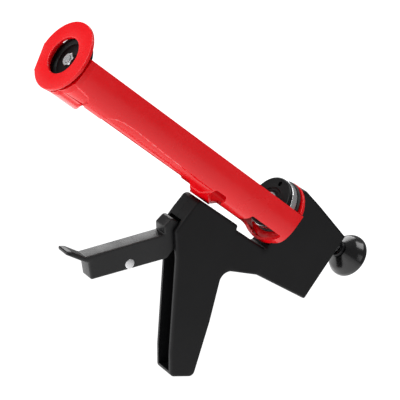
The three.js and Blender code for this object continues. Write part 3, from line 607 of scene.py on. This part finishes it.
def rear_plate():
    """Disc of radius R above the trough's edges and R - wall below them, its bore about the rod's axis."""
    edge = TROUGH_TOP + GAP
    start = math.asin(edge / BARREL_RADIUS)
    upper = np.linspace(start, math.pi - start, 60)
    inside_radius = BARREL_RADIUS - BARREL_WALL - GAP
    turn = math.asin(edge / inside_radius)
    lower = np.linspace(math.pi - turn, 2 * math.pi + turn, 80)
    outline = np.concatenate([BARREL_RADIUS * np.stack([np.cos(upper), np.sin(upper)], 1),
                              inside_radius * np.stack([np.cos(lower), np.sin(lower)], 1)])
    half = PLATE_THICKNESS / 2
    points, faces = slab(outline, half, 0.7, 4, 5.0)
    points = np.stack([points[:, 1] + half, points[:, 0], points[:, 2]], 1)
    mesh = make_mesh("barrel_rear_plate_fine", seated(points), faces)
    mesh = cut(mesh, [round_bar(-5, 9, SPINDLE_BORE)])
    add_piece("barrel_rear_plate_fine", mesh, "barrel", RED, ["barrel_rear_plate"])


NOZZLE_HOLE_RADIUS = 15.8
COLLAR_RADIUS = 26.2
COLLAR_WALL = 1.4
COLLAR_LENGTH = 8
FLAT_ANGLE = 203.0  # degrees round from +y to the middle of the cap's flat
FLAT_HALF_ANGLE = 23.5
FLAT_SHARE = 0.935  # the flat's distance from the centre, as a share of the cap's radius
FLAT_CORNER_SHARE = 1.015


def front_cap():
    """Cap disc with a collar under the trough's edges; its lower edge has a flat between two small corners.

    On the flat the edge lies at radius flat / cos(angle from the flat's middle), up to the corners' radius.
    """
    back = BARREL_LENGTH - PLATE_THICKNESS
    profile = arcs([(back, CAP_RADIUS, 0.9), (BARREL_LENGTH, CAP_RADIUS, 0.9),
                    (BARREL_LENGTH, NOZZLE_HOLE_RADIUS, 1.0), (back, NOZZLE_HOLE_RADIUS, 0.6)], 0.3)
    points, faces = turned(profile, 240)
    radius = np.hypot(points[:, 1], points[:, 2])
    angle = np.degrees(np.arctan2(points[:, 2], points[:, 1])) % 360
    line = CAP_RADIUS * FLAT_SHARE / np.cos(np.radians(np.clip(angle - FLAT_ANGLE, -40, 40)))
    limit = np.where(np.abs(angle - FLAT_ANGLE) < FLAT_HALF_ANGLE,
                     np.minimum(line, CAP_RADIUS * FLAT_CORNER_SHARE), CAP_RADIUS)
    scale = np.where(radius > 27, limit / CAP_RADIUS, 1.0)
    points[:, 1] *= scale
    points[:, 2] *= scale
    mesh = make_mesh("barrel_front_cap_fine", points, faces)
    edge = math.degrees(math.asin(TROUGH_TOP / COLLAR_RADIUS))
    turn = np.radians(np.linspace(180 - edge, 360 + edge, 120))
    around = np.stack([np.cos(turn), np.sin(turn)], 1)
    wall = np.concatenate([COLLAR_RADIUS * around, (COLLAR_RADIUS - COLLAR_WALL) * around[::-1]])
    points, faces = prism(wall, back - COLLAR_LENGTH, back + 1)
    mesh = cut(mesh, [(points[:, [1, 0, 2]], faces)], "UNION")
    place_barrel(mesh)
    add_piece("barrel_front_cap_fine", mesh, "barrel", RED, ["barrel_front_cap"])


# ---- Collar nut, washer and ring on the spindle ----

SPANNER_HOLES = 4
SPANNER_HOLE_RADIUS = 2.2
SPANNER_HOLE_INSET = 5.4  # from the nut's rim to the holes' middles


def spindle_pieces():
    """Collar nut with its spanner holes, and the washer and the ring behind it."""
    back, front = low("collar_nut")[0] - REAR_X, high("collar_nut")[0] - REAR_X
    radius = high("collar_nut")[1]
    bore = SPINDLE_BORE
    profile = arcs([(back, bore, 0.3), (back, radius, 0.6), (front, radius, 1.5), (front, 12.6, 0.8),
                    (front - 0.9, 11.8, 0.5), (front - 0.9, 9.6, 0.5), (front - 1.5, 9.2, 0.4),
                    (front - 1.5, bore, 0.3)], 0.25)
    nut = make_mesh("collar_nut_fine", *turned(profile))
    holes = []
    for index in range(SPANNER_HOLES):
        angle = index * 2 * math.pi / SPANNER_HOLES
        y, z = (radius - SPANNER_HOLE_INSET) * np.array([math.cos(angle), math.sin(angle)])
        holes.append(round_bar(front - 2.2, front + 2, SPANNER_HOLE_RADIUS, y, z))
    nut = cut(nut, holes)
    piece = add_piece("collar_nut_fine", nut, "handle", NUT_BLACK, ["collar_nut"])
    bevelled(piece, 0.25, 2, 50)
    for node, slot, finish, round_edge in (("thrust_washer", "bright_steel", BRIGHT_STEEL, 0.7),
                                           ("barrel_friction_ring", "seal_rubber", RUBBER, 0.8)):
        start, end = low(node)[0] - REAR_X, high(node)[0] - REAR_X
        ring = arcs([(start, bore, 0.2), (start, high(node)[1], round_edge), (end, high(node)[1], round_edge),
                     (end, bore, 0.2)], 0.3)
        add_piece(f"{node}_fine", make_mesh(f"{node}_fine", *turned(ring)), "handle", finish, [node])


def round_bar(back, front, radius, y=0.0, z=0.0, segments=32):
    """Plain round bar along x, used as a cutter."""
    angle = np.linspace(0, 2 * math.pi, segments, endpoint=False)
    ends = [np.stack([np.full(segments, x), y + radius * np.cos(angle), z + radius * np.sin(angle)], 1)
            for x in (back, front)]
    faces = [tuple(q) for q in grid_faces(2, segments, False, True)]
    return np.concatenate(ends), faces + [tuple(range(segments)), tuple(range(segments, 2 * segments))]


# ---- Plunger ----

PISTON_BORE = 3.3
KNOB_BORE = 4.7
NECK_BORE = 4.95


def plunger():
    """Piston disc with a sunk face, the mushroom knob and its neck ring."""
    back, front = low("piston_disc")[0] - REAR_X, high("piston_disc")[0] - REAR_X
    radius = high("piston_disc")[1]
    profile = arcs([(back, PISTON_BORE, 0.2), (back, radius, 1.8), (front, radius, 0.6),
                    (front, radius - 3, 0.6), (front - 2, radius - 6.0, 1.0),
                    (front - 2, PISTON_BORE, 0.2)], 0.25)
    add_piece("piston_disc_fine", make_mesh("piston_disc_fine", *turned(profile)), "plunger",
              NUT_BLACK, ["piston_disc"])
    knob_back, knob_front = low("pull_knob")[0] - REAR_X, high("pull_knob")[0] - REAR_X
    reach = high("pull_knob")[1]
    knob = arcs([(knob_front, KNOB_BORE, 0.2), (knob_front, 7.6, 1.2), (knob_front - 2.4, 11.0, 5.0),
                 (knob_front - 6.2, 16.4, 9.0), (knob_front - 12.2, reach, 5.5),
                 (knob_front - 16.6, reach, 2.2), (knob_front - 18.6, reach - 5, 5.0),
                 (knob_back, 8, 6), (knob_back, 0, 0),
                 (knob_front - 8, 0, 0), (knob_front - 8, KNOB_BORE, 0.2)], 0.1)
    add_piece("pull_knob_fine", make_mesh("pull_knob_fine", *turned(knob, 128)), "plunger",
              KNOB_BLACK, ["pull_knob"])
    start, end = low("knob_neck_ring")[0] - REAR_X, high("knob_neck_ring")[0] - REAR_X
    neck = arcs([(start, NECK_BORE, 0.2), (start, 7.5, 1.2), (end, 7.5, 1.2), (end, NECK_BORE, 0.2)], 0.25)
    ring = make_mesh("knob_neck_ring_fine", *turned(neck))
    add_piece("knob_neck_ring_fine", ring, "plunger", NUT_BLACK, ["knob_neck_ring"])


# ---- Trigger ----

TRIGGER_HEEL = np.array([92.0, -67.0])
TRIGGER_ANGLE = math.radians(-42)
TRIGGER_LENGTH = 84.0
TRIGGER_DEPTH = 23.0
TRIGGER_WALL = 2.3
PLATE_WALL = 2.8  # of the finger plate over the channel
PIVOT = np.array([82.0, -46.0])
PIVOT_BORE = 2.8
LINK_PIN_BORE = 2.3
RIVET_BORE = 4.7


def on_trigger(along, below, radius=0.0):
    """Side-view point measured along the finger plate from its heel and below its top."""
    c, s = math.cos(TRIGGER_ANGLE), math.sin(TRIGGER_ANGLE)
    return (TRIGGER_HEEL[0] + along * c + below * s, TRIGGER_HEEL[1] + along * s - below * c, radius)


def trigger():
    """Trigger: outline with hub, finger plate and lip, hollowed from below to a channel; and its rivet."""
    lip = TRIGGER_LENGTH
    lx, lz, _ = on_trigger(lip, 0)
    outline = arcs([
        (PIVOT[0] - 6.5, PIVOT[1] + 6.5, 6), (PIVOT[0] + 6.5, PIVOT[1] + 6.5, 6), (89, -58, 3),
        (102, -58, 3.5), (104, -68, 2), (98.9, -73.2, 0.8), (lx, lz, 5), (lx + 15, lz - 2, 3),
        (lx + 20, lz - 4.5, 1.2), (lx + 18, lz - 6.8, 1.2),
        on_trigger(lip + 2.5, 3.4, 3), on_trigger(lip - 2, 6, 1),
        on_trigger(lip - 4, TRIGGER_DEPTH - 1, 2), on_trigger(7, TRIGGER_DEPTH, 4),
        on_trigger(0.5, TRIGGER_DEPTH - 6, 3), (77, -68, 2), (PIVOT[0] - 6.5, PIVOT[1], 1)])
    points, faces = slab(outline, TRIGGER_HALF_WIDTH, 1.4, 4, 3.0)
    whole = make_mesh("trigger_lever_fine", points, faces)
    inner = TRIGGER_HALF_WIDTH - TRIGGER_WALL
    deep = TRIGGER_DEPTH + 20
    corners = [(-30, PLATE_WALL), (lip - 3, PLATE_WALL), (lip - 6, deep), (-30, deep)]
    channel = prism([on_trigger(along, below)[:2] for along, below in corners], -inner, inner)
    neck = prism([(60, -36), (91, -36), (91, -62), (88, -70), (60, -70)], -inner, inner)
    w = TRIGGER_HALF_WIDTH + 1
    rivet = middle("trigger_rivet") - ORIGIN
    pin = middle("link_front_pin") - ORIGIN
    bores = [cross_bar(PIVOT[0], PIVOT[1], PIVOT_BORE, -w, w),
             cross_bar(pin[0], pin[2], LINK_PIN_BORE, -w, w),
             cross_bar(rivet[0], rivet[2], RIVET_BORE, -w, w)]
    mesh = cut(whole, [channel, neck, *bores])
    piece = add_piece("trigger_lever_fine", mesh, "trigger", TRIGGER_BLACK,
                      ["trigger_lever"])
    bevelled(piece, 0.4, 2, 50)
    radius = (high("trigger_rivet") - low("trigger_rivet"))[0] / 2
    head = arcs([(-w + 1, 0, 0), (-w + 1, radius, 0.6), (w - 1, radius, 0.6), (w - 1, 0, 0)], 0.3)
    points, faces = turned(head, 64)
    points = points[:, [1, 0, 2]] + np.array([rivet[0], 0, rivet[2]])
    add_piece("trigger_rivet_fine", make_mesh("trigger_rivet_fine", points, faces), "trigger",
              BRIGHT_STEEL, ["trigger_rivet"])


def cross_bar(x, z, radius, back, front, segments=40):
    """Plain round bar along y, used as a cutter."""
    points, faces = round_bar(back, front, radius, 0, 0, segments)
    return points[:, [1, 0, 2]] + np.array([x, 0, z]), faces


# ---- CAD nodes that stay ----

def finish_cad_nodes():
    """Gives each node that stays the finish of its slot."""
    slots = {item["node"]: item["material_slot"] for item in frame["record"]["subparts"]}
    for node, thing in frame["nodes"].items():
        thing.data.materials.clear()
        thing.data.materials.append(CAD_FINISH[slots[node]])


# ---- Floor, light and camera ----

def studio():
    """White world, brighter where the camera sees it, and a white floor far below the gun."""
    world = bpy.data.worlds.new("studio_world")
    bpy.context.scene.world = world
    world.use_nodes = True
    tree = world.node_tree
    plain = tree.nodes["Background"]
    plain.inputs["Color"].default_value = (1, 1, 1, 1)
    plain.inputs["Strength"].default_value = 0.28
    seen = tree.nodes.new("ShaderNodeBackground")
    seen.inputs["Color"].default_value = (1, 1, 1, 1)
    seen.inputs["Strength"].default_value = 1.3
    path = tree.nodes.new("ShaderNodeLightPath")
    mix = tree.nodes.new("ShaderNodeMixShader")
    tree.links.new(path.outputs["Is Camera Ray"], mix.inputs["Fac"])
    tree.links.new(plain.outputs["Background"], mix.inputs[1])
    tree.links.new(seen.outputs["Background"], mix.inputs[2])
    tree.links.new(mix.outputs["Shader"], tree.nodes["World Output"].inputs["Surface"])
    material, shader = new_material("studio_floor", (1.0, 1.0, 1.0), 0.8, specular=0.0)
    shader.inputs["Emission Color"].default_value = (1, 1, 1, 1)
    shader.inputs["Emission Strength"].default_value = 0.85
    size, height = 40.0, -0.45
    mesh = bpy.data.meshes.new("studio_floor")
    corners = [(-size, -size, height), (size, -size, height), (size, size, height), (-size, size, height)]
    mesh.from_pydata(corners, [], [(0, 1, 2, 3)])
    floor = bpy.data.objects.new("studio_floor", mesh)
    bpy.context.scene.collection.objects.link(floor)
    mesh.materials.append(material)
    bpy.context.scene.view_settings.view_transform = "Standard"


def soft_light(name, place, target, size, power):
    """Rectangular area light at a place, turned to the target; size in metres, power in watts."""
    data = bpy.data.lights.new(name, "AREA")
    data.shape = "RECTANGLE"
    data.size, data.size_y = size
    data.energy = power
    lamp = bpy.data.objects.new(name, data)
    lamp.location = place
    lamp.rotation_euler = (Vector(target) - Vector(place)).to_track_quat("-Z", "Y").to_euler()
    bpy.context.scene.collection.objects.link(lamp)


def lights():
    """Soft boxes above, in front and on both sides, all turned to the middle of the gun."""
    centre = (0.06, 0.0, 0.08)
    soft_light("top_softbox", (0.1, 0.1, 1.5), centre, (1.0, 0.8), 13)
    soft_light("front_softbox", (1.6, -0.35, 0.45), centre, (0.8, 0.8), 14)
    soft_light("left_softbox", (-0.2, 1.9, 0.9), centre, (0.9, 0.9), 4)
    soft_light("back_softbox", (-0.05, -1.15, 1.05), centre, (0.8, 0.8), 9)


def camera():
    """Long lens level with the rod, looking at the left side from the front, rolled, nozzle upwards."""
    azimuth, elevation, roll = (math.radians(v) for v in (139.28, 0.06, 34.09))
    aim = Vector((0.0600, 0.0, 0.0850))
    distance = 1.611
    back = Vector((math.sin(azimuth) * math.cos(elevation), -math.cos(azimuth) * math.cos(elevation),
                   math.sin(elevation)))
    level = Vector((0, 0, 1)).cross(back).normalized()
    upright = back.cross(level)
    right = math.cos(roll) * level + math.sin(roll) * upright
    up = back.cross(right)
    data = bpy.data.cameras.new("view_camera")
    data.sensor_width = 36
    data.lens = 173.2
    data.clip_start = 0.01
    thing = bpy.data.objects.new("view_camera", data)
    turn = Matrix((right, up, back)).transposed().to_4x4()
    thing.matrix_world = Matrix.Translation(aim + back * distance) @ turn
    bpy.context.scene.collection.objects.link(thing)
    bpy.context.scene.camera = thing


camera()
studio()
lights()
finish_cad_nodes()
handle_shells()
barrel()
spindle_pieces()
plunger()
trigger()
